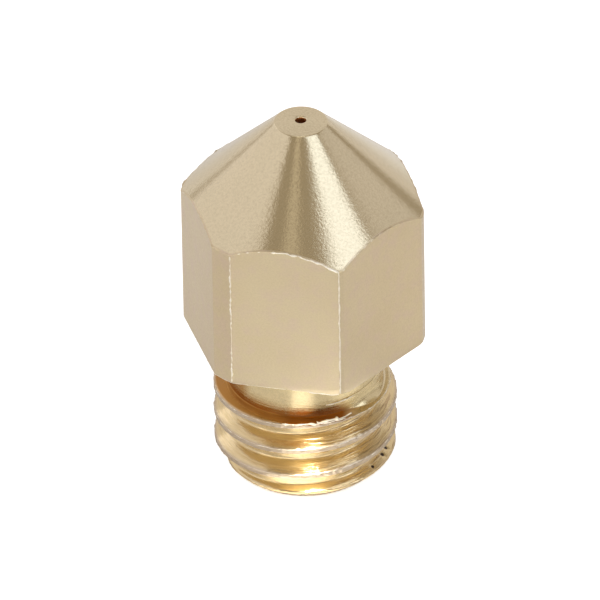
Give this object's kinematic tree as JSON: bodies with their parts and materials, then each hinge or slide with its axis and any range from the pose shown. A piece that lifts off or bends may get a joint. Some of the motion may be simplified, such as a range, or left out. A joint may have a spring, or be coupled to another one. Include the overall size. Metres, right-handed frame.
{
  "type": "extruder nozzle",
  "caption": "Brass extruder nozzle: a flat tip with a fine orifice on a 90 degree cone, a hexagon, a relief neck, a coarse right-hand M6 thread and a filament bore.",
  "frame": {"origin": "centre of the thread's end face, which is the lowest face of the part", "axes": "+Z along the nozzle's axis from the thread's end to the tip; one flat of the hexagon faces -Y and two corners lie on the X axis"},
  "size_m": [0.008, 0.007, 0.013],
  "materials": {
    "brass": "satin, as turned, with fine turning marks and small burrs at its edges"
  },
  "bodies": {
    "root": {"nozzle": "brass"}
  },
  "joints": []
}
